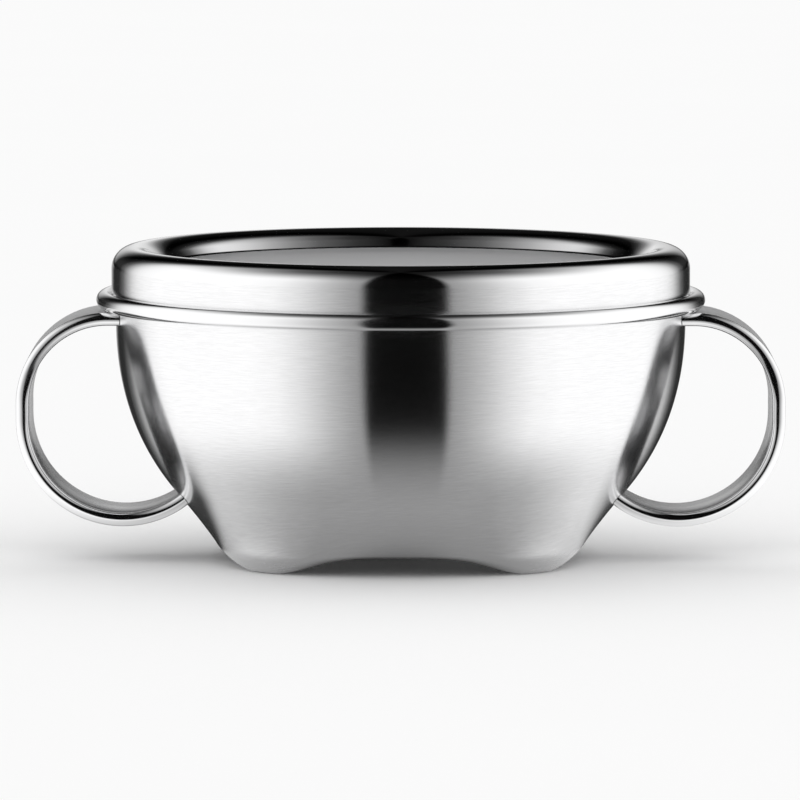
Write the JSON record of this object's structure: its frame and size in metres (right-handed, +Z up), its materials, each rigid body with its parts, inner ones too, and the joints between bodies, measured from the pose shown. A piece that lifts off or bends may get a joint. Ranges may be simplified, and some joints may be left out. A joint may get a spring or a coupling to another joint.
{
  "type": "insulated bowl with lid",
  "caption": "Double-walled steel bowl on four arched feet, with two ring handles at its sides and a lift-off lid with a sunk panel, a rounded crest and a plain skirt.",
  "frame": {"origin": "on the ground, below the middle of the bowl", "axes": "+Z up along the bowl's axis, the two handles along X, the front towards -Y"},
  "size_m": [0.1762, 0.14, 0.0722],
  "materials": {
    "brushed_steel": "stainless steel with fine brushing round the bowl",
    "lid_steel": "stainless steel, brushed on the skirt, polished on the crest and satin on the panel",
    "polished_steel": "polished stainless steel",
    "satin_steel": "satin stainless steel",
    "silicone": "soft translucent white silicone"
  },
  "bodies": {
    "bowl": {"outer_shell": "brushed_steel", "rim_ring": "polished_steel", "inner_liner": "satin_steel", "left_handle_band": "polished_steel", "left_handle_strip": "satin_steel", "right_handle_band": "polished_steel", "right_handle_strip": "satin_steel"},
    "lid": {"lid_cover": "lid_steel", "lid_pan": "satin_steel", "lid_seal": "silicone"}
  },
  "joints": [
    {"name": "lid_lift", "type": "slide", "parent": "bowl", "child": "lid", "axis": [0, 0, 1], "range_m": [0, 0.06]}
  ]
}
